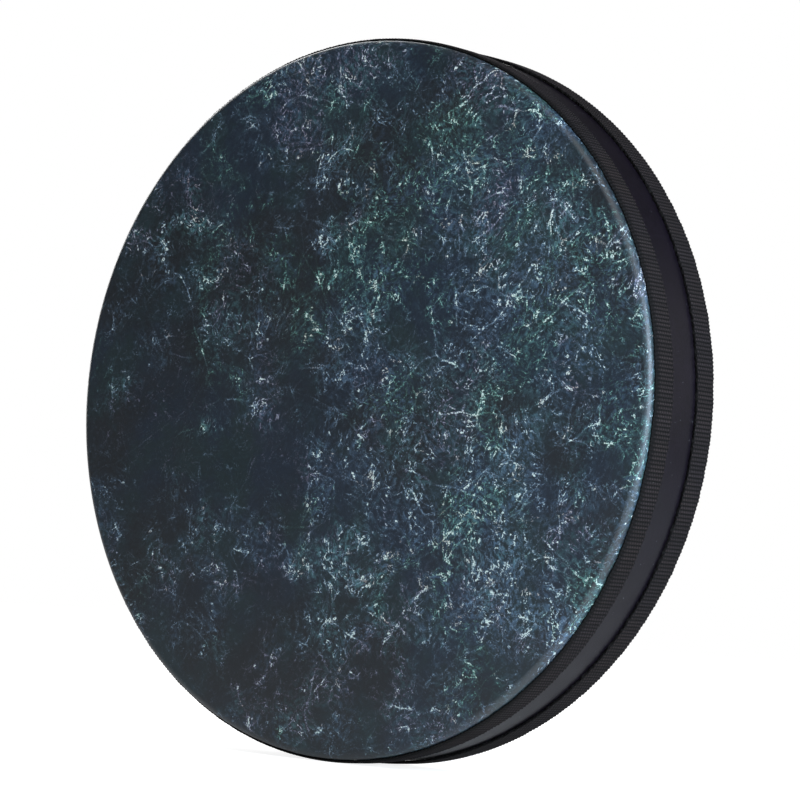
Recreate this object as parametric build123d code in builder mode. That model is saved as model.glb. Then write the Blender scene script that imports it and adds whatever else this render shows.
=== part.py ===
from build123d import *
import math
import os

os.makedirs("parts", exist_ok=True)

# An ocean drum standing on its rim: the axis lies along Y, the printed head faces -Y
# and the rim's lowest point is at Z = 0. Sizes are in millimetres, angles in degrees.

# Shell hoop
shell_diameter = 405.4
shell_depth = 63.5
shell_wall = 6.5
bearing_edge_radius = 4.0
inner_edge_radius = 1.2

# Head films, each turned over the bearing edge as a collar
film_thickness = 0.3
glue_line = 0.15

# Ribbed tapes, each with a butt joint and reaching past its collar's end
tape_width = 16.0
tape_thickness = 1.8
tape_inset = 4.45
tape_past_collar = 3.45
tape_joint_gap = 0.8

# Smooth finish strip round the shell, from collar to collar
wrap_thickness = 0.3
wrap_collar_gap = 0.95
wrap_seam_gap = 0.4

# The joints of the tapes and the wrap lie at this angle, from +X towards +Z
seam_angle = 200.0

# Steel beads, lying in lanes side by side at the bottom of the shell
bead_diameter = 4.5
bead_gap = 0.25
bead_seat_gap = 0.3
lane_count = 21
double_lanes = 11
bead_rows = 11
row_sway = 0.45
lane_drift = 2.4
bead_drift = 1.9

# Radii from the drum's axis outwards
shell_radius = shell_diameter / 2
collar_inner = shell_radius + glue_line
collar_outer = collar_inner + film_thickness
wrap_inner = shell_radius + glue_line
wrap_outer = wrap_inner + wrap_thickness
tape_inner = max(collar_outer, wrap_outer) + glue_line
tape_outer = tape_inner + tape_thickness

# Distances from the drum's middle plane outwards along its axis
shell_face = shell_depth / 2
film_inner = shell_face + glue_line
film_outer = film_inner + film_thickness
tape_far = film_outer - tape_inset
tape_near = tape_far - tape_width
collar_end = tape_near + tape_past_collar
wrap_end = collar_end - wrap_collar_gap

axis_height = tape_outer
drum_axis = Axis((0, 0, axis_height), (0, 1, 0))


def section_plane(angle):
    """The half-plane through the drum's axis at this angle: local X is the radius, local Y is +Y."""
    turn = math.radians(angle)
    return Plane(
        origin=(0, 0, axis_height),
        x_dir=(math.cos(turn), 0, math.sin(turn)),
        z_dir=(-math.sin(turn), 0, math.cos(turn)),
    )


def open_arc(gap, radius):
    """Degrees of a ring at this radius whose ends stay this far apart."""
    return 360 - math.degrees(gap / radius)


# Shell: a hoop with rounded outer edges for the films to bend over
with BuildPart() as shell:
    with BuildSketch(section_plane(0)):
        with Locations((shell_radius - shell_wall / 2, 0)):
            Rectangle(shell_wall, shell_depth)
        sides = vertices().group_by(Axis.X)
        fillet(sides[-1], radius=bearing_edge_radius)
        fillet(sides[0], radius=inner_edge_radius)
    revolve(axis=drum_axis)
shell.part.label = "shell"
export_step(shell.part, "parts/shell.step")

# Shell wrap: the smooth strip between the tapes
with BuildPart() as shell_wrap:
    with BuildSketch(section_plane(seam_angle)):
        with Locations((wrap_inner, -wrap_end)):
            Rectangle(wrap_thickness, 2 * wrap_end, align=(Align.MIN, Align.MIN))
    revolve(axis=drum_axis, revolution_arc=open_arc(wrap_seam_gap, wrap_inner))
shell_wrap.part.label = "shell_wrap"
export_step(shell_wrap.part, "parts/shell_wrap.step")

# Front head: a flat film, bent round the bearing edge into a collar
turn_centre = (shell_radius - bearing_edge_radius, bearing_edge_radius - shell_face)
inner_turn = bearing_edge_radius + glue_line
outer_turn = inner_turn + film_thickness
with BuildPart() as front_head:
    with BuildSketch(section_plane(0)):
        with BuildLine():
            Line((0, -film_inner), (turn_centre[0], -film_inner))
            CenterArc(turn_centre, inner_turn, 270, 90)
            Line((collar_inner, turn_centre[1]), (collar_inner, -collar_end))
            Line((collar_inner, -collar_end), (collar_outer, -collar_end))
            Line((collar_outer, -collar_end), (collar_outer, turn_centre[1]))
            CenterArc(turn_centre, outer_turn, 270, 90)
            Line((turn_centre[0], -film_outer), (0, -film_outer))
            Line((0, -film_outer), (0, -film_inner))
        make_face()
    revolve(axis=drum_axis)
front_head.part.label = "front_head"
export_step(front_head.part, "parts/front_head.step")

# Rear head: the same form, facing the other way
with BuildPart() as rear_head:
    mirror(front_head.part, about=Plane.XZ)
rear_head.part.label = "rear_head"
export_step(rear_head.part, "parts/rear_head.step")

# Front tape: the webbing that covers the front collar's glued end
with BuildPart() as front_tape:
    with BuildSketch(section_plane(seam_angle)):
        with Locations((tape_inner, -tape_far)):
            Rectangle(tape_thickness, tape_width, align=(Align.MIN, Align.MIN))
    revolve(axis=drum_axis, revolution_arc=open_arc(tape_joint_gap, tape_inner))
front_tape.part.label = "front_tape"
export_step(front_tape.part, "parts/front_tape.step")

# Rear tape: the same at the rear collar
with BuildPart() as rear_tape:
    mirror(front_tape.part, about=Plane.XZ)
rear_tape.part.label = "rear_tape"
export_step(rear_tape.part, "parts/rear_tape.step")

# Beads: balls resting on the shell's inner wall, with a second layer on the middle lanes
bead_spacing = bead_diameter + bead_gap
seat_radius = shell_radius - shell_wall - bead_seat_gap - bead_diameter / 2
row_reach = film_inner - bead_seat_gap - bead_diameter / 2 - row_sway
row_pitch = 2 * row_reach / (bead_rows - 1)


def row_places(lane, layer):
    """Places along Y of one layer's beads: full and staggered rows take turns, each a little astray."""
    staggered = (lane + layer) % 2
    count = bead_rows - staggered
    first = -(count - 1) * row_pitch / 2
    astray = [row_sway * math.sin(lane_drift * lane + bead_drift * row + layer) for row in range(count)]
    return [first + row * row_pitch + astray[row] for row in range(count)]


def lane_beads(lane):
    """Centres of one lane's beads, each layer settled on the one below."""
    from_middle = lane - (lane_count - 1) // 2
    x = from_middle * bead_spacing
    floor = axis_height - math.sqrt(seat_radius**2 - x**2)
    lower = [(y, floor) for y in row_places(lane, 0)]
    centres = [(x, y, z) for y, z in lower]
    if abs(from_middle) <= (double_lanes - 1) // 2:
        for y in row_places(lane, 1):
            near = [(yb, zb) for yb, zb in lower if abs(y - yb) < bead_spacing]
            z = max([zb + math.sqrt(bead_spacing**2 - (y - yb) ** 2) for yb, zb in near])
            centres.append((x, y, z))
    return centres


for lane in range(lane_count):
    name = f"beads_{lane + 1:02d}"
    with BuildPart() as beads:
        with Locations(*lane_beads(lane)):
            Sphere(bead_diameter / 2)
    beads.part.label = name
    export_step(beads.part, f"parts/{name}.step")
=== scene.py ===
# An ocean drum standing on its rim: a printed film and a clear film on a fibre hoop, two ribbed
# tapes, a smooth strip of finish between them, and loose steel beads inside. Sizes are in metres.
import math

import bpy
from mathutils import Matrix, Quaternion, Vector


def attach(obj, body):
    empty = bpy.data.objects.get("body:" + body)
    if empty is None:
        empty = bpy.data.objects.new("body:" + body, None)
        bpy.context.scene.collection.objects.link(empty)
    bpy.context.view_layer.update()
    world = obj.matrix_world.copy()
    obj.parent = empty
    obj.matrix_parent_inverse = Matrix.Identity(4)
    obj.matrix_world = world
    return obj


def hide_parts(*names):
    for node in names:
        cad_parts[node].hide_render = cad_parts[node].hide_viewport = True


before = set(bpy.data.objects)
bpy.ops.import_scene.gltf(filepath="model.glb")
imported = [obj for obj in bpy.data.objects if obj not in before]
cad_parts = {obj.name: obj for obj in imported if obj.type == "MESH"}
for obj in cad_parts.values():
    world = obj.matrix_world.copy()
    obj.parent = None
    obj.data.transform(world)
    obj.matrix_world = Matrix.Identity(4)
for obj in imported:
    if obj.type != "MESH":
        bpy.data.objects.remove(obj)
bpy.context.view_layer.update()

# The drum's axis lies along Y, at this height over the floor
axis_height = 0.2051
axis_centre = Vector((0, 0, axis_height))
axis_direction = (0, 1, 0)

# Radii, from the axis outwards
shell_inside = 0.1962
shell_outside = 0.2027
film_inside = 0.20285
film_outside = 0.20315
tape_inside = 0.2033
tape_valley = 0.20465
tape_crest = 0.2051

# Depths, from the drum's middle plane outwards
shell_face = 0.03175
film_inner_face = 0.0319
film_outer_face = 0.0322
tape_far_edge = 0.02775
tape_near_edge = 0.01175
collar_end = 0.0152
wrap_end = 0.01425

# Roundings of the hoop's edges and of the films over them
bearing_edge = 0.004
inner_edge = 0.0012
film_inner_turn = 0.00415
film_outer_turn = 0.00445

# Joints of the wrap and the tapes, from +X towards +Z
seam_angle = math.radians(200)
wrap_gap = 0.0004
tape_gap = 0.0008

# Turned pieces: steps round the axis, a ring of points half way out on the films, the wrap's eased edges
round_steps = 288
film_middle_ring = 0.1
wrap_ease = 0.0001

# Webbing: ribs round the rim, how high each ring of a rib stands, threads across a rib, and how much
# lower the edges lie next to the wrap, the printed film and the clear film
rib_count = 573
ring_lifts = [0.55, 1.0, 0.55, 0.0]
thread_period = 0.0023
wrap_edge_drop = 0.0002
printed_edge_drop = 0.0008
clear_edge_drop = 0.0002

# How the webbing's edges wander: width of the strip that does, and each edge's spread and strength
edge_strip = 0.0012
film_edge_wander = (0.005, 0.0014)
wrap_edge_wander = (0.0022, 0.0022)

# Beads: rows side by side, the row that carries the heap, and a ball's radius and faces
lane_count = 21
heap_lane = 11
bead_radius = 0.00225
bead_bands = 7
bead_sides = 10

# Modelling: doubles this close are merged, places this close count as the same, and a line starts
# from a plane of this size
merge_distance = 0.000002
same_place = 0.00001
seed_size = 0.001


# Modelling helpers

def nothing_selected():
    """Leaves edit mode and deselects everything, the CAD nodes too."""
    if bpy.context.object and bpy.context.object.mode != "OBJECT":
        bpy.ops.object.mode_set(mode="OBJECT")
    bpy.ops.object.select_all(action="DESELECT")


def rounding(centre, radius, first, last, parts):
    """Points of an arc in the plane of radius and depth, angles in degrees from the radius."""
    angles = [math.radians(first + (last - first) * part / parts) for part in range(parts + 1)]
    return [(centre[0] + radius * math.cos(a), centre[1] + radius * math.sin(a)) for a in angles]


def draw_profile(name, points, angle=0.0):
    """Starts a piece as a line through these points of radius and depth, at this angle round the axis.
    The piece stays in edit mode, with its last point selected."""
    outward = Vector((math.cos(angle), 0, math.sin(angle)))
    places = [axis_centre + outward * radius + Vector((0, depth, 0)) for radius, depth in points]
    nothing_selected()
    bpy.ops.mesh.primitive_plane_add(size=seed_size, location=places[0])
    piece = bpy.context.object
    piece.name = name
    bpy.ops.object.transform_apply(location=True, rotation=True, scale=True)
    bpy.ops.object.mode_set(mode="EDIT")
    bpy.ops.mesh.select_all(action="SELECT")
    bpy.ops.mesh.merge(type="CENTER")
    for here, there in zip(places, places[1:]):
        bpy.ops.mesh.extrude_region_move(TRANSFORM_OT_translate={"value": there - here})
    return piece


def spin_profile(steps, arc):
    """Turns the drawn line round the drum's axis."""
    bpy.ops.mesh.select_all(action="SELECT")
    bpy.ops.mesh.spin(steps=steps, angle=arc, center=axis_centre, axis=axis_direction)


def close_mesh(smooth_degrees):
    """Merges doubles, points the faces outwards and shades the piece smooth up to this angle."""
    bpy.ops.mesh.select_all(action="SELECT")
    bpy.ops.mesh.remove_doubles(threshold=merge_distance)
    bpy.ops.mesh.normals_make_consistent(inside=False)
    bpy.ops.object.mode_set(mode="OBJECT")
    bpy.ops.object.shade_smooth_by_angle(angle=math.radians(smooth_degrees))


def cap_open_ends():
    """Closes the two ends of a ring that stops at its joint."""
    bpy.ops.mesh.select_all(action="SELECT")
    bpy.ops.mesh.remove_doubles(threshold=merge_distance)
    bpy.ops.mesh.select_all(action="DESELECT")
    bpy.ops.mesh.select_mode(type="EDGE")
    bpy.ops.mesh.select_non_manifold(extend=False)
    bpy.ops.mesh.edge_face_add()
    bpy.ops.mesh.select_mode(type="VERT")


def place_piece(piece, material, body, slot, *nodes):
    """Gives a piece its material and its body and hides the nodes that it stands for. The slot is not
    used.
    """
    piece.data.materials.clear()
    piece.data.materials.append(material)
    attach(piece, body)
    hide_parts(*nodes)


# Node helpers

def paint(red, green, blue):
    """A colour written as it looks, from 0 to 255, in Blender's linear numbers."""
    def linear(level):
        share = level / 255
        return share / 12.92 if share <= 0.04045 else ((share + 0.055) / 1.055) ** 2.4
    return (linear(red), linear(green), linear(blue), 1.0)


def feed(tree, socket, value):
    """Links a socket where another socket is given, and sets it where a value is."""
    if isinstance(value, bpy.types.NodeSocket):
        tree.links.new(value, socket)
    else:
        socket.default_value = value


def add_node(tree, kind, inputs=None, **settings):
    """A node with these settings and inputs."""
    made = tree.nodes.new(kind)
    for name, value in settings.items():
        setattr(made, name, value)
    for name, value in (inputs or {}).items():
        feed(tree, made.inputs[name], value)
    return made


def maths(tree, operation, first, second=0.0):
    return add_node(tree, "ShaderNodeMath", {0: first, 1: second}, operation=operation).outputs[0]


def plus(tree, *values):
    total = values[0]
    for value in values[1:]:
        total = maths(tree, "ADD", total, value)
    return total


def times(tree, *values):
    total = values[0]
    for value in values[1:]:
        total = maths(tree, "MULTIPLY", total, value)
    return total


def soft_step(tree, value, low, high, at_low=0.0, at_high=1.0):
    """Runs smoothly from one level to the other as the value goes from low to high."""
    inputs = {"Value": value, "From Min": low, "From Max": high, "To Min": at_low, "To Max": at_high}
    return add_node(tree, "ShaderNodeMapRange", inputs, interpolation_type="SMOOTHSTEP").outputs["Result"]


def moved(tree, vector, step):
    return add_node(tree, "ShaderNodeVectorMath", {0: vector, 1: step}, operation="ADD").outputs[0]


def clouds(tree, vector, scale, detail=2.0, roughness=0.5, seed=0.0, output="Fac", plane="3D"):
    """Clouds of this many to the metre. Each seed shows another part of the same sky."""
    aside = moved(tree, vector, (0.71 * seed, 1.37 * seed, 0.93 * seed))
    inputs = {"Vector": aside, "Scale": scale, "Detail": detail, "Roughness": roughness}
    return add_node(tree, "ShaderNodeTexNoise", inputs, noise_dimensions=plane).outputs[output]


def flat_clouds(tree, vector, scale, detail=2.0, roughness=0.5, seed=0.0):
    """Clouds on a flat print: they are the same all through its thickness."""
    return clouds(tree, vector, scale, detail, roughness, seed, "Fac", "2D")


def bent(tree, vector, scale, amount, seed):
    """Coordinates pushed about by clouds, so that what is drawn on them isn't straight."""
    push = clouds(tree, vector, scale, 2.0, 0.6, seed, "Color", "2D")
    inputs = {0: push, 1: (amount, amount, amount), 2: vector}
    return add_node(tree, "ShaderNodeVectorMath", inputs, operation="MULTIPLY_ADD").outputs[0]


def mixed(tree, share, first, second):
    """A share of the second colour over the first. A Mix node's colours are its sockets 6 and 7."""
    inputs = {0: share, 6: first, 7: second}
    return add_node(tree, "ShaderNodeMix", inputs, data_type="RGBA").outputs[2]


def bump(tree, height, strength, distance):
    inputs = {"Height": height, "Strength": strength, "Distance": distance}
    return add_node(tree, "ShaderNodeBump", inputs).outputs["Normal"]


def object_place(tree):
    return add_node(tree, "ShaderNodeTexCoord").outputs["Object"]


def new_material(name):
    material = bpy.data.materials.new(name)
    material.use_nodes = True
    return material, material.node_tree, material.node_tree.nodes["Principled BSDF"]


def new_group(name, inputs, outputs):
    """A shader node group with these named sockets, and its input and output nodes."""
    tree = bpy.data.node_groups.new(name, "ShaderNodeTree")
    for socket, kind in inputs:
        tree.interface.new_socket(socket, in_out="INPUT", socket_type=kind)
    for socket, kind in outputs:
        tree.interface.new_socket(socket, in_out="OUTPUT", socket_type=kind)
    return tree, tree.nodes.new("NodeGroupInput").outputs, tree.nodes.new("NodeGroupOutput").inputs


number = "NodeSocketFloat"
direction = "NodeSocketVector"


# Shared effects

def make_crack_lines():
    """Thin broken lines between the cells of a cracked stone."""
    inputs = [("Vector", direction), ("Cell", number), ("Width", number), ("Kept Spread", number),
              ("Kept From", number), ("Kept To", number), ("Seed", number)]
    tree, given, result = new_group("crack_lines", inputs, [("Lines", number)])
    offset = add_node(tree, "ShaderNodeVectorMath", {0: (1.37, 0.71, 2.13), "Scale": given["Seed"]},
                      operation="SCALE").outputs[0]
    aside = moved(tree, given["Vector"], offset)
    cells = add_node(tree, "ShaderNodeTexVoronoi",
                     {"Vector": aside, "Scale": maths(tree, "DIVIDE", 1.0, given["Cell"])},
                     feature="DISTANCE_TO_EDGE", voronoi_dimensions="2D")
    reach = maths(tree, "DIVIDE", given["Width"], given["Cell"])
    line = soft_step(tree, cells.outputs["Distance"], 0.0, reach, 1.0, 0.0)
    kept = flat_clouds(tree, aside, given["Kept Spread"], 2.0, 0.5, 3.3)
    kept = soft_step(tree, kept, given["Kept From"], given["Kept To"])
    tree.links.new(times(tree, line, kept), result["Lines"])
    return tree


def make_handling_marks():
    """Soft smears and a few pale specks of dust."""
    inputs = [("Vector", direction), ("Smear Spread", number), ("Speck Spread", number),
              ("Speck From", number)]
    tree, given, result = new_group("handling_marks", inputs, [("Smears", number), ("Specks", number)])
    smears = clouds(tree, given["Vector"], given["Smear Spread"], 3.0, 0.55, 21.0)
    specks = clouds(tree, given["Vector"], given["Speck Spread"], 1.0, 0.5, 23.0)
    speck_end = plus(tree, given["Speck From"], 0.05)
    tree.links.new(smears, result["Smears"])
    tree.links.new(soft_step(tree, specks, given["Speck From"], speck_end), result["Specks"])
    return tree


def make_round_the_rim():
    """Where a point lies on the rim: metres round it, metres across it, and its radius."""
    tree, given, result = new_group("round_the_rim", [("Vector", direction)],
                                    [("Around", number), ("Across", number), ("Radius", number)])
    parts = add_node(tree, "ShaderNodeSeparateXYZ", {"Vector": given["Vector"]}).outputs
    up = maths(tree, "SUBTRACT", parts["Z"], axis_height)
    turn = maths(tree, "ARCTAN2", up, parts["X"])
    square = plus(tree, times(tree, up, up), times(tree, parts["X"], parts["X"]))
    tree.links.new(times(tree, turn, tape_crest), result["Around"])
    tree.links.new(parts["Y"], result["Across"])
    tree.links.new(maths(tree, "SQRT", square), result["Radius"])
    return tree


crack_lines = make_crack_lines()
handling_marks = make_handling_marks()
round_the_rim = make_round_the_rim()


def grouped(tree, group, **inputs):
    """Places a group in a material. Input names are written with underscores for spaces."""
    made = add_node(tree, "ShaderNodeGroup", node_tree=group)
    for name, value in inputs.items():
        feed(tree, made.inputs[name.replace("_", " ")], value)
    return made.outputs


# Materials

def make_printed_film():
    """Dark slate film, printed all over with a web of fine pale cracks and flecks."""
    material, tree, surface = new_material("printed_film")
    place = object_place(tree)
    parts = add_node(tree, "ShaderNodeSeparateXYZ", {"Vector": place}).outputs

    # The print lies flat on the film and runs on round the turned edge
    radius = grouped(tree, round_the_rim, Vector=place)["Radius"]
    drop = plus(tree, parts["Y"], film_outer_face)
    stretch = maths(tree, "DIVIDE", plus(tree, radius, drop), radius)
    up = maths(tree, "SUBTRACT", parts["Z"], axis_height)
    flat = add_node(tree, "ShaderNodeCombineXYZ", {"X": times(tree, parts["X"], stretch),
                                                   "Y": times(tree, up, stretch)}).outputs[0]
    sweeping = bent(tree, flat, 20, 0.016, 0.3)
    wavy = bent(tree, sweeping, 70, 0.003, 0.5)
    slope = math.radians(34)
    turned = add_node(tree, "ShaderNodeVectorRotate", {"Vector": wavy, "Angle": slope},
                      rotation_type="Z_AXIS").outputs[0]
    jagged = bent(tree, turned, 520, 0.0015, 0.7)

    # Where the print is dense and where it is nearly bare, with a painted lighter side towards the right
    # and the top
    broad = flat_clouds(tree, flat, 13, 3, 0.6, 1.0)
    clump = flat_clouds(tree, wavy, 45, 4, 0.7, 2.0)
    # Partly print, partly painted light: the film grows denser, paler and greener towards the right and
    # the top, as on its lit side
    to_the_right = plus(tree, parts["X"], times(tree, parts["Z"], 0.35))
    aslant_print_and_painted_light = soft_step(tree, to_the_right, -0.16, 0.28, -0.05, 0.085)
    density = plus(tree, times(tree, broad, 0.45), times(tree, clump, 0.55), aslant_print_and_painted_light)
    density = soft_step(tree, density, 0.42, 0.66, 0.08, 1.32)
    bloom = soft_step(tree, flat_clouds(tree, wavy, 11, 3, 0.6, 19.0), 0.50, 0.68, 1.0, 2.2)
    density = times(tree, density, bloom)

    # Cracks from long veins down to hair lines: cell, width, spread and range of what is kept, strength
    veins = []
    sizes = [(0.070, 0.0008, 22, 0.47, 0.60, 1.05), (0.040, 0.0007, 34, 0.48, 0.62, 0.85),
             (0.024, 0.0007, 60, 0.47, 0.62, 0.76), (0.012, 0.0006, 110, 0.47, 0.66, 0.68),
             (0.006, 0.0005, 230, 0.44, 0.66, 0.50), (0.0032, 0.0005, 420, 0.42, 0.66, 0.44)]
    for seed, (cell, width, spread, kept_from, kept_to, strength) in enumerate(sizes, 1):
        lines = grouped(tree, crack_lines, Vector=jagged, Cell=cell, Width=width, Kept_Spread=spread,
                        Kept_From=kept_from, Kept_To=kept_to, Seed=float(seed))["Lines"]
        veins.append(times(tree, lines, strength))

    # Bright knots and points among the cracks: cells to the metre, reach in a cell, strength
    knot_aside = moved(tree, jagged, (0.03, 0.05, 0.0))
    for cells, reach, strength in ((105.0, 0.13, 1.6), (330.0, 0.20, 0.7)):
        knots = add_node(tree, "ShaderNodeTexVoronoi", {"Vector": knot_aside, "Scale": cells},
                         feature="F1", voronoi_dimensions="2D")
        knot = soft_step(tree, knots.outputs["Distance"], 0.03, reach, 1.0, 0.0)
        picked = add_node(tree, "ShaderNodeSeparateColor", {"Color": knots.outputs["Color"]}).outputs[0]
        veins.append(times(tree, knot, soft_step(tree, picked, 0.45, 0.75, 0.0, strength)))
    grain = flat_clouds(tree, flat, 1150, 2, 0.6, 7.0)
    dust = flat_clouds(tree, jagged, 300, 4, 0.75, 8.0)
    web = times(tree, plus(tree, *veins), soft_step(tree, grain, 0.42, 0.58, 0.08, 1.22))
    sparkle = soft_step(tree, flat_clouds(tree, wavy, 110, 3, 0.65, 9.0), 0.46, 0.70, 0.26, 2.1)
    fleck = maths(tree, "MINIMUM", times(tree, web, density, sparkle), 0.95)
    haze = times(tree, density, soft_step(tree, dust, 0.42, 0.74, 0.0, 0.28))

    # Ground colours, from slate to blue and teal
    ground = mixed(tree, soft_step(tree, flat_clouds(tree, flat, 9, 3, 0.6, 12.0), 0.38, 0.62),
                   paint(27, 32, 37), paint(27, 38, 51))
    ground = mixed(tree, soft_step(tree, flat_clouds(tree, flat, 24, 3, 0.6, 13.0), 0.45, 0.68),
                   ground, paint(27, 41, 46))
    veil = mixed(tree, soft_step(tree, flat_clouds(tree, flat, 18, 3, 0.6, 16.0), 0.42, 0.60),
                 paint(100, 132, 162), paint(96, 145, 152))
    ground = mixed(tree, haze, ground, veil)

    # Fleck colours: pale blue, green, mauve, a few warm ones, and white where they are strongest
    higher = soft_step(tree, parts["Z"], 0.12, 0.30, -0.06, 0.02)
    greener = plus(tree, flat_clouds(tree, wavy, 17, 4, 0.65, 14.0), times(tree, aslant_print_and_painted_light, 0.8), higher)
    pale = mixed(tree, soft_step(tree, greener, 0.50, 0.60), paint(156, 186, 212), paint(142, 207, 192))
    pale = mixed(tree, soft_step(tree, flat_clouds(tree, flat, 14, 4, 0.65, 15.0), 0.51, 0.63),
                 pale, paint(186, 184, 214))
    warm = times(tree, soft_step(tree, flat_clouds(tree, flat, 60, 2, 0.5, 17.0), 0.58, 0.68),
                 soft_step(tree, fleck, 0.20, 0.50))
    pale = mixed(tree, warm, pale, paint(224, 204, 190))
    pale = mixed(tree, soft_step(tree, fleck, 0.55, 0.98), pale, paint(224, 241, 234))
    tree.links.new(mixed(tree, fleck, ground, pale), surface.inputs["Base Color"])

    marks = grouped(tree, handling_marks, Vector=place, Smear_Spread=25.0, Speck_Spread=900.0,
                    Speck_From=0.78)
    tree.links.new(soft_step(tree, marks["Smears"], 0.3, 0.7, 0.42, 0.52), surface.inputs["Roughness"])
    surface.inputs["Specular IOR Level"].default_value = 0.4
    surface.inputs["Coat Weight"].default_value = 0.5
    surface.inputs["Coat Roughness"].default_value = 0.36
    tree.links.new(bump(tree, grain, 0.15, 0.0002), surface.inputs["Normal"])
    return material


def make_clear_film():
    """Clear polyester film, a little hazy where it has been handled."""
    material, tree, surface = new_material("clear_film")
    place = object_place(tree)
    marks = grouped(tree, handling_marks, Vector=place, Smear_Spread=18.0, Speck_Spread=700.0,
                    Speck_From=0.74)
    haze = soft_step(tree, marks["Smears"], 0.40, 0.75)
    tint = mixed(tree, haze, paint(120, 130, 134), paint(170, 176, 178))
    tree.links.new(mixed(tree, marks["Specks"], tint, paint(245, 245, 242)), surface.inputs["Base Color"])
    tree.links.new(soft_step(tree, marks["Smears"], 0.3, 0.7, 0.06, 0.16), surface.inputs["Roughness"])
    facing = add_node(tree, "ShaderNodeLayerWeight", {"Blend": 0.35}).outputs["Facing"]
    veil = plus(tree, soft_step(tree, facing, 0.0, 1.0, 0.05, 0.55), times(tree, haze, 0.03),
                times(tree, marks["Specks"], 0.25))
    tree.links.new(veil, surface.inputs["Alpha"])
    surface.inputs["IOR"].default_value = 1.6
    surface.inputs["Specular IOR Level"].default_value = 1.0
    return material


def make_webbing():
    """Warm black ribbed webbing: its ribs are modelled, its threads are in the colour and the bump, with
    painted shade in the rib valleys and between the threads.
    """
    material, tree, surface = new_material("webbing")
    place = object_place(tree)
    rim = grouped(tree, round_the_rim, Vector=place)
    ribs_to_the_metre = rib_count / (2 * math.pi * tape_crest)
    rib = maths(tree, "FLOOR", times(tree, rim["Around"], ribs_to_the_metre))
    stagger = times(tree, rib, math.pi)
    along = plus(tree, times(tree, rim["Across"], 2 * math.pi / thread_period), stagger)
    thread = soft_step(tree, maths(tree, "SINE", along), -0.8, 0.9)
    fibre = clouds(tree, place, 2600, 3, 0.65, 31.0)
    fade = clouds(tree, place, 22, 3, 0.6, 32.0)
    raised = soft_step(tree, rim["Radius"], tape_valley, tape_crest)
    odd = add_node(tree, "ShaderNodeTexWhiteNoise", {"W": rib}, noise_dimensions="1D").outputs["Value"]
    yarn = mixed(tree, soft_step(tree, fade, 0.35, 0.65), paint(56, 47, 46), paint(52, 45, 47))
    yarn = mixed(tree, times(tree, odd, 0.45), yarn, paint(22, 20, 20))
    # Painted shade: the rib valleys and the grooves between the threads take a near-black colour, the
    # crests and threads the yarn's colour
    painted_crest_and_thread_light = times(tree, raised, soft_step(tree, thread, 0.0, 1.0, 0.15, 1.0))
    colour = mixed(tree, painted_crest_and_thread_light, paint(7, 6, 6), yarn)
    colour = mixed(tree, soft_step(tree, fibre, 0.55, 0.80, 0.0, 0.25), colour, paint(44, 43, 45))
    marks = grouped(tree, handling_marks, Vector=place, Smear_Spread=60.0, Speck_Spread=1100.0,
                    Speck_From=0.80)
    colour = mixed(tree, times(tree, marks["Specks"], 0.4), colour, paint(130, 126, 120))
    tree.links.new(colour, surface.inputs["Base Color"])
    tree.links.new(soft_step(tree, fibre, 0.3, 0.7, 0.66, 0.84), surface.inputs["Roughness"])
    surface.inputs["Specular IOR Level"].default_value = 0.14
    height = plus(tree, thread, times(tree, fibre, 0.5))
    tree.links.new(bump(tree, height, 0.35, 0.0002), surface.inputs["Normal"])
    return material


def make_finish_wrap():
    """Smooth purple-black strip with a satin gloss and a fine skin."""
    material, tree, surface = new_material("finish_wrap")
    place = object_place(tree)
    skin = clouds(tree, place, 1100, 2, 0.6, 41.0)
    tone = clouds(tree, place, 35, 3, 0.6, 42.0)
    marks = grouped(tree, handling_marks, Vector=place, Smear_Spread=40.0, Speck_Spread=600.0,
                    Speck_From=0.77)
    colour = mixed(tree, soft_step(tree, tone, 0.35, 0.65), paint(12, 9, 14), paint(15, 11, 18))
    colour = mixed(tree, soft_step(tree, skin, 0.42, 0.72, 0.0, 0.7), colour, paint(26, 20, 29))
    colour = mixed(tree, times(tree, marks["Specks"], 0.6), colour, paint(150, 150, 156))
    tree.links.new(colour, surface.inputs["Base Color"])
    tree.links.new(soft_step(tree, marks["Smears"], 0.3, 0.7, 0.30, 0.38), surface.inputs["Roughness"])
    surface.inputs["Specular IOR Level"].default_value = 0.25
    tree.links.new(bump(tree, skin, 0.25, 0.0002), surface.inputs["Normal"])
    return material


def make_shell_fibre():
    """Brown pressed fibre, wound in layers: its strands run round the hoop."""
    material, tree, surface = new_material("shell_fibre")
    place = object_place(tree)
    rim = grouped(tree, round_the_rim, Vector=place)
    lengthwise = times(tree, rim["Around"], 0.12)
    layers = times(tree, rim["Radius"], 1.5)
    flow = add_node(tree, "ShaderNodeCombineXYZ",
                    {"X": lengthwise, "Y": rim["Across"], "Z": layers}).outputs[0]
    strands = clouds(tree, flow, 900, 4, 0.65, 51.0)
    blotch = clouds(tree, place, 30, 3, 0.6, 52.0)
    colour = mixed(tree, soft_step(tree, strands, 0.30, 0.70), paint(92, 72, 54), paint(150, 124, 96))
    colour = mixed(tree, soft_step(tree, blotch, 0.40, 0.70, 0.0, 0.5), colour, paint(116, 94, 74))
    tree.links.new(colour, surface.inputs["Base Color"])
    tree.links.new(soft_step(tree, strands, 0.3, 0.7, 0.70, 0.88), surface.inputs["Roughness"])
    tree.links.new(bump(tree, strands, 0.4, 0.0003), surface.inputs["Normal"])
    return material


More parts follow.
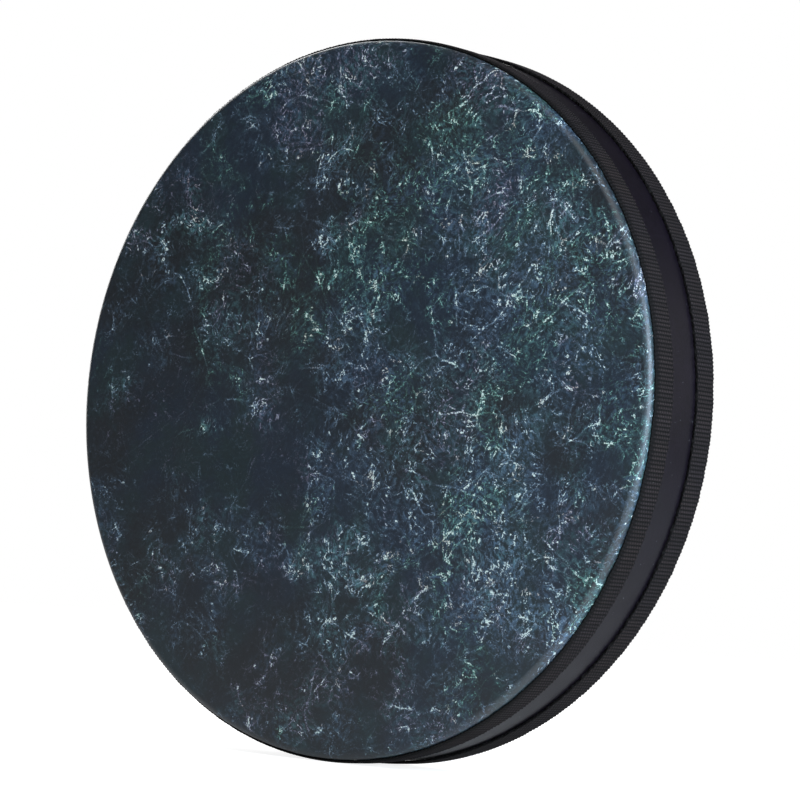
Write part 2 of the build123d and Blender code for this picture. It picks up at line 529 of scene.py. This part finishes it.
def make_steel_beads():
    """Polished steel balls, some a little duller than others."""
    material, tree, surface = new_material("steel_beads")
    place = object_place(tree)
    wear = clouds(tree, place, 260, 2, 0.5, 61.0)
    scuffs = clouds(tree, place, 2200, 3, 0.6, 62.0)
    colour = mixed(tree, soft_step(tree, wear, 0.35, 0.65), paint(196, 198, 202), paint(170, 170, 172))
    colour = mixed(tree, soft_step(tree, scuffs, 0.60, 0.80, 0.0, 0.5), colour, paint(120, 118, 116))
    tree.links.new(colour, surface.inputs["Base Color"])
    surface.inputs["Metallic"].default_value = 1.0
    rough = plus(tree, soft_step(tree, wear, 0.35, 0.65, 0.14, 0.26), times(tree, scuffs, 0.08))
    tree.links.new(rough, surface.inputs["Roughness"])
    return material


printed_film = make_printed_film()
clear_film = make_clear_film()
webbing = make_webbing()
finish_wrap = make_finish_wrap()
shell_fibre = make_shell_fibre()
steel_beads = make_steel_beads()


# Pieces

def make_shell():
    """The hoop: a square-edged ring with rounded bearing edges."""
    outer = shell_outside - bearing_edge
    inner = shell_inside + inner_edge
    front = -shell_face
    points = rounding((outer, front + bearing_edge), bearing_edge, -90, 0, 8)
    points += rounding((outer, -front - bearing_edge), bearing_edge, 0, 90, 8)
    points += rounding((inner, -front - inner_edge), inner_edge, 90, 180, 5)
    points += rounding((inner, front + inner_edge), inner_edge, 180, 270, 5)
    piece = draw_profile("shell_hoop", points + points[:1])
    spin_profile(round_steps, 2 * math.pi)
    close_mesh(40)
    place_piece(piece, shell_fibre, "drum", "shell_fibre", "shell")


def make_head(name, side, material, slot, node):
    """A film stretched flat, turned over the bearing edge and run down the hoop as a collar."""
    centre = (shell_outside - bearing_edge, bearing_edge - shell_face)
    points = [(0, -film_inner_face)]
    points += rounding(centre, film_inner_turn, -90, 0, 12)
    points += [(film_inside, -collar_end), (film_outside, -collar_end)]
    points += rounding(centre, film_outer_turn, 0, -90, 14)
    points += [(film_middle_ring, -film_outer_face), (0, -film_outer_face)]
    points = [(radius, side * depth) for radius, depth in points]
    piece = draw_profile(name, points)
    spin_profile(round_steps, 2 * math.pi)
    close_mesh(35)
    place_piece(piece, material, "drum", slot, node)


def make_wrap():
    """The smooth strip round the hoop, with its edges eased and one open seam."""
    inner = film_inside
    outer = film_outside
    eased = outer - wrap_ease
    points = [(inner, -wrap_end), (eased, -wrap_end), (outer, wrap_ease - wrap_end),
              (outer, wrap_end - wrap_ease), (eased, wrap_end), (inner, wrap_end), (inner, -wrap_end)]
    gap = wrap_gap / outer
    piece = draw_profile("wrap_strip", points, seam_angle + gap / 2)
    spin_profile(round_steps, gap - 2 * math.pi)
    cap_open_ends()
    close_mesh(35)
    place_piece(piece, finish_wrap, "drum", "finish_wrap", "shell_wrap")


def make_tape(name, side, node, film_edge_drop):
    """Webbing with cross ribs: one rib is modelled, then copied round the rim up to the joint.
    The edge next to the film is lower by the drop."""
    rib_rings = len(ring_lifts)
    gap = tape_gap / tape_crest
    pitch = (2 * math.pi - gap) / rib_count
    start = seam_angle + gap / 2
    across = [0.0, 0.04, 0.12, 0.24, 0.36, 0.5, 0.64, 0.76, 0.88, 0.96, 1.0]
    drops = [wrap_edge_drop, 0.25 * wrap_edge_drop, 0.0, 0.0, 0.0, 0.0, 0.0, 0.0,
             0.2 * film_edge_drop, 0.6 * film_edge_drop, film_edge_drop]
    width = tape_far_edge - tape_near_edge
    top = [(tape_valley - drop, tape_near_edge + share * width) for share, drop in zip(across, drops)]
    first = (tape_inside, tape_near_edge)
    points = [first] + top + [(tape_inside, tape_far_edge), first]
    piece = draw_profile(name, [(radius, side * depth) for radius, depth in points], start)
    bpy.ops.mesh.select_all(action="SELECT")
    bpy.ops.mesh.remove_doubles(threshold=merge_distance)
    before = 0.0
    for ring, lift in enumerate(ring_lifts):
        bpy.ops.mesh.spin(steps=1, angle=-pitch / rib_rings, center=axis_centre, axis=axis_direction)
        turn = start + (ring + 1) * pitch / rib_rings
        raise_top(piece, turn, (lift - before) * (tape_crest - tape_valley))
        before = lift
    bpy.ops.mesh.select_all(action="SELECT")
    bpy.ops.mesh.spin(steps=rib_count - 1, angle=-pitch * (rib_count - 1), dupli=True,
                      center=axis_centre, axis=axis_direction)
    cap_open_ends()
    close_mesh(60)
    make_edge_uneven(piece, "film_edge", tape_far_edge - edge_strip, tape_far_edge, *film_edge_wander)
    make_edge_uneven(piece, "wrap_edge", tape_near_edge, tape_near_edge + edge_strip, *wrap_edge_wander)
    place_piece(piece, webbing, "drum", "webbing", node)


def make_edge_uneven(piece, name, nearest, farthest, spread, strength):
    """Lets the points between two depths wander across the tape, as the threads of a woven edge do."""
    group = piece.vertex_groups.new(name=name)
    border = [point.index for point in piece.data.vertices
              if nearest - same_place < abs(point.co.y) < farthest + same_place]
    group.add(border, 1.0, "REPLACE")
    drift = bpy.data.textures.new(name, "CLOUDS")
    drift.noise_scale = spread
    drift.noise_depth = 2
    shift = piece.modifiers.new(name, "DISPLACE")
    shift.texture = drift
    shift.texture_coords = "LOCAL"
    shift.direction = "Y"
    shift.vertex_group = name
    shift.mid_level = 0.5
    shift.strength = strength
    bpy.ops.object.modifier_apply(modifier=name)
    piece.vertex_groups.clear()


def raise_top(piece, turn, rise):
    """Moves the newest ring's top points outwards by this much and leaves the whole ring selected."""
    outward = Vector((math.cos(turn), 0, math.sin(turn)))
    inner_face = tape_inside + same_place
    bpy.ops.object.mode_set(mode="OBJECT")
    ring = [point.index for point in piece.data.vertices if point.select]
    for index in ring:
        point = piece.data.vertices[index]
        point.select = (point.co - axis_centre).dot(outward) > inner_face
    bpy.ops.object.mode_set(mode="EDIT")
    bpy.ops.transform.translate(value=outward * rise)
    bpy.ops.object.mode_set(mode="OBJECT")
    for index in ring:
        piece.data.vertices[index].select = True
    bpy.ops.object.mode_set(mode="EDIT")


make_shell()
make_head("printed_head", 1, printed_film, "printed_film", "front_head")
make_head("clear_head", -1, clear_film, "clear_film", "rear_head")
make_wrap()
make_tape("front_ribbed_tape", -1, "front_tape", printed_edge_drop)
make_tape("rear_ribbed_tape", 1, "rear_tape", clear_edge_drop)


# Beads

def ball_centres(node):
    """Where the balls of a row lie: a copy of the row is merged and parted into its balls."""
    nothing_selected()
    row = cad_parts[node].copy()
    row.data = row.data.copy()
    bpy.context.scene.collection.objects.link(row)
    row.select_set(True)
    bpy.context.view_layer.objects.active = row
    bpy.ops.object.mode_set(mode="EDIT")
    bpy.ops.mesh.select_all(action="SELECT")
    bpy.ops.mesh.remove_doubles(threshold=merge_distance)
    bpy.ops.mesh.separate(type="LOOSE")
    bpy.ops.object.mode_set(mode="OBJECT")
    centres = []
    for ball in list(bpy.context.selected_objects):
        corners = [Vector(corner) for corner in ball.bound_box]
        centres.append(sum(corners, Vector()) / len(corners))
        bpy.data.objects.remove(ball)
    return sorted(centres, key=lambda centre: (round(centre.z, 5), centre.y))


def make_bead_row(lane):
    """A row of beads: one ball is turned, then copied to the place of each ball of the row."""
    node = f"beads_{lane:02d}"
    centres = ball_centres(node)
    nothing_selected()
    lowest = centres[0] - Vector((0, 0, bead_radius))
    bpy.ops.mesh.primitive_plane_add(size=seed_size, location=lowest)
    piece = bpy.context.object
    piece.name = f"bead_balls_{lane:02d}"
    bpy.ops.object.transform_apply(location=True, rotation=True, scale=True)
    bpy.ops.object.mode_set(mode="EDIT")
    bpy.ops.mesh.merge(type="CENTER")
    angles = [math.pi * (band / bead_bands - 0.5) for band in range(bead_bands + 1)]
    outline = [Vector((math.cos(a), 0, math.sin(a))) * bead_radius for a in angles]
    for here, there in zip(outline, outline[1:]):
        bpy.ops.mesh.extrude_region_move(TRANSFORM_OT_translate={"value": there - here})
    bpy.ops.mesh.select_all(action="SELECT")
    bpy.ops.mesh.spin(steps=bead_sides, angle=2 * math.pi, center=centres[0], axis=(0, 0, 1))
    bpy.ops.mesh.select_all(action="SELECT")
    bpy.ops.mesh.remove_doubles(threshold=merge_distance)
    for here, there in zip(centres, centres[1:]):
        bpy.ops.mesh.duplicate_move(TRANSFORM_OT_translate={"value": there - here})
    close_mesh(80)
    body = "bead_heap" if lane == heap_lane else f"bead_row_{lane:02d}"
    place_piece(piece, steel_beads, body, "steel_beads", node)


for lane in range(1, lane_count + 1):
    make_bead_row(lane)


# Stage, light and camera

def make_floor():
    """A plain white floor that keeps a soft shadow near the drum and is plain white further off. In
    reflections it glows as painted light, brightest in a patch by the drum's front right edge.
    """
    nothing_selected()
    bpy.ops.mesh.primitive_circle_add(vertices=96, radius=6.0, fill_type="NGON")
    floor = bpy.context.object
    floor.name = "studio_floor"
    material, tree, surface = new_material("studio_floor")
    place = add_node(tree, "ShaderNodeSeparateXYZ", {"Vector": object_place(tree)}).outputs
    square = plus(tree, times(tree, place["X"], place["X"]), times(tree, place["Y"], place["Y"]))
    away = maths(tree, "SQRT", square)
    rays = add_node(tree, "ShaderNodeLightPath").outputs
    seen = maths(tree, "MAXIMUM", rays["Is Camera Ray"], rays["Is Transmission Ray"])
    # Painted reflection: for reflections only the floor glows, brighter near the drum and brightest in a
    # patch by its front right edge, which puts highlights on the films' turned edges and the wrap's lower
    # side
    reflected_glow_near_drum = soft_step(tree, away, 0.08, 0.45, 0.17, 0.07)
    reflected_glow_patch = times(tree, soft_step(tree, place["Y"], 0.02, -0.05),
                        soft_step(tree, place["X"], 0.06, 0.14))
    mirrored = plus(tree, reflected_glow_near_drum, times(tree, reflected_glow_patch, 1.2))
    seen = maths(tree, "MAXIMUM", seen, times(tree, rays["Is Glossy Ray"], mirrored))
    surface.inputs["Base Color"].default_value = (0.55, 0.55, 0.55, 1)
    surface.inputs["Roughness"].default_value = 0.9
    surface.inputs["Specular IOR Level"].default_value = 0.0
    surface.inputs["Emission Color"].default_value = (1, 1, 1, 1)
    glow = times(tree, seen, soft_step(tree, away, 0.15, 0.7, 0.84, 1.0))
    tree.links.new(glow, surface.inputs["Emission Strength"])
    floor.data.materials.append(material)


def make_world():
    """A white ground for what the camera sees, and a soft studio that darkens overhead."""
    world = bpy.data.worlds.new("studio")
    bpy.context.scene.world = world
    world.use_nodes = True
    tree = world.node_tree
    background = tree.nodes["Background"]
    ray = add_node(tree, "ShaderNodeTexCoord").outputs["Generated"]
    parts = add_node(tree, "ShaderNodeSeparateXYZ", {"Vector": ray}).outputs
    rays = add_node(tree, "ShaderNodeLightPath").outputs
    back = times(tree, soft_step(tree, parts["Y"], -0.1, 0.5),
                 soft_step(tree, parts["X"], -0.3, 0.4, 0.2, 1.0))
    low = soft_step(tree, parts["Z"], 0.32, 0.50, 0.38, 0.0)
    mirrored = plus(tree, 0.05, times(tree, back, low))
    studio = soft_step(tree, parts["Z"], -0.1, 0.8, 0.32, 0.15)
    seen = maths(tree, "MAXIMUM", rays["Is Camera Ray"], rays["Is Transmission Ray"])
    glossy = rays["Is Glossy Ray"]
    unseen = add_node(tree, "ShaderNodeMix", {0: glossy, 2: studio, 3: mirrored}).outputs[0]
    strength = add_node(tree, "ShaderNodeMix", {0: seen, 2: unseen, 3: 1.0}).outputs[0]
    background.inputs["Color"].default_value = (1, 1, 1, 1)
    tree.links.new(strength, background.inputs["Strength"])


def make_lamp(name, place, target, width, height, power, colour=(1, 1, 1)):
    """A soft rectangular lamp that faces its target."""
    lamp = bpy.data.lights.new(name, "AREA")
    lamp.color = colour
    lamp.shape = "RECTANGLE"
    lamp.size = width
    lamp.size_y = height
    lamp.energy = power
    holder = bpy.data.objects.new(name, lamp)
    bpy.context.scene.collection.objects.link(holder)
    holder.location = place
    holder.rotation_euler = (Vector(target) - Vector(place)).to_track_quat("-Z", "Y").to_euler()


def make_camera():
    """The camera, right of the drum's axis and a little below it, rolled a little."""
    azimuth = math.radians(38.089)
    elevation = math.radians(-3.0)
    roll = math.radians(4.284)
    aim = Vector((0.02272, -0.01443, 0.20565))
    distance = 2.0066
    back = Vector((math.sin(azimuth) * math.cos(elevation), -math.cos(azimuth) * math.cos(elevation),
                   math.sin(elevation)))
    data = bpy.data.cameras.new("camera")
    data.sensor_width = 36
    data.lens = 160.4
    camera = bpy.data.objects.new("camera", data)
    bpy.context.scene.collection.objects.link(camera)
    camera.location = aim + back * distance
    camera.rotation_mode = "QUATERNION"
    camera.rotation_quaternion = back.to_track_quat("Z", "Y") @ Quaternion((0, 0, 1), roll)
    bpy.context.scene.camera = camera


make_floor()
make_world()
drum_middle = (0, 0, 0.205)
make_lamp("front_softbox", (0.62, -0.85, 1.35), drum_middle, 1.5, 1.3, 10.5, (1.0, 0.94, 0.86))
make_lamp("right_softbox", (1.36, -0.32, 0.46), drum_middle, 1.1, 0.8, 34, (0.66, 0.82, 1.0))
make_lamp("rear_softbox", (-1.2, 1.0, 1.3), drum_middle, 1.0, 0.8, 9)
make_lamp("left_softbox", (-1.7, 0.45, 0.7), drum_middle, 0.8, 0.9, 10)
make_camera()
bpy.context.scene.view_settings.view_transform = "Standard"
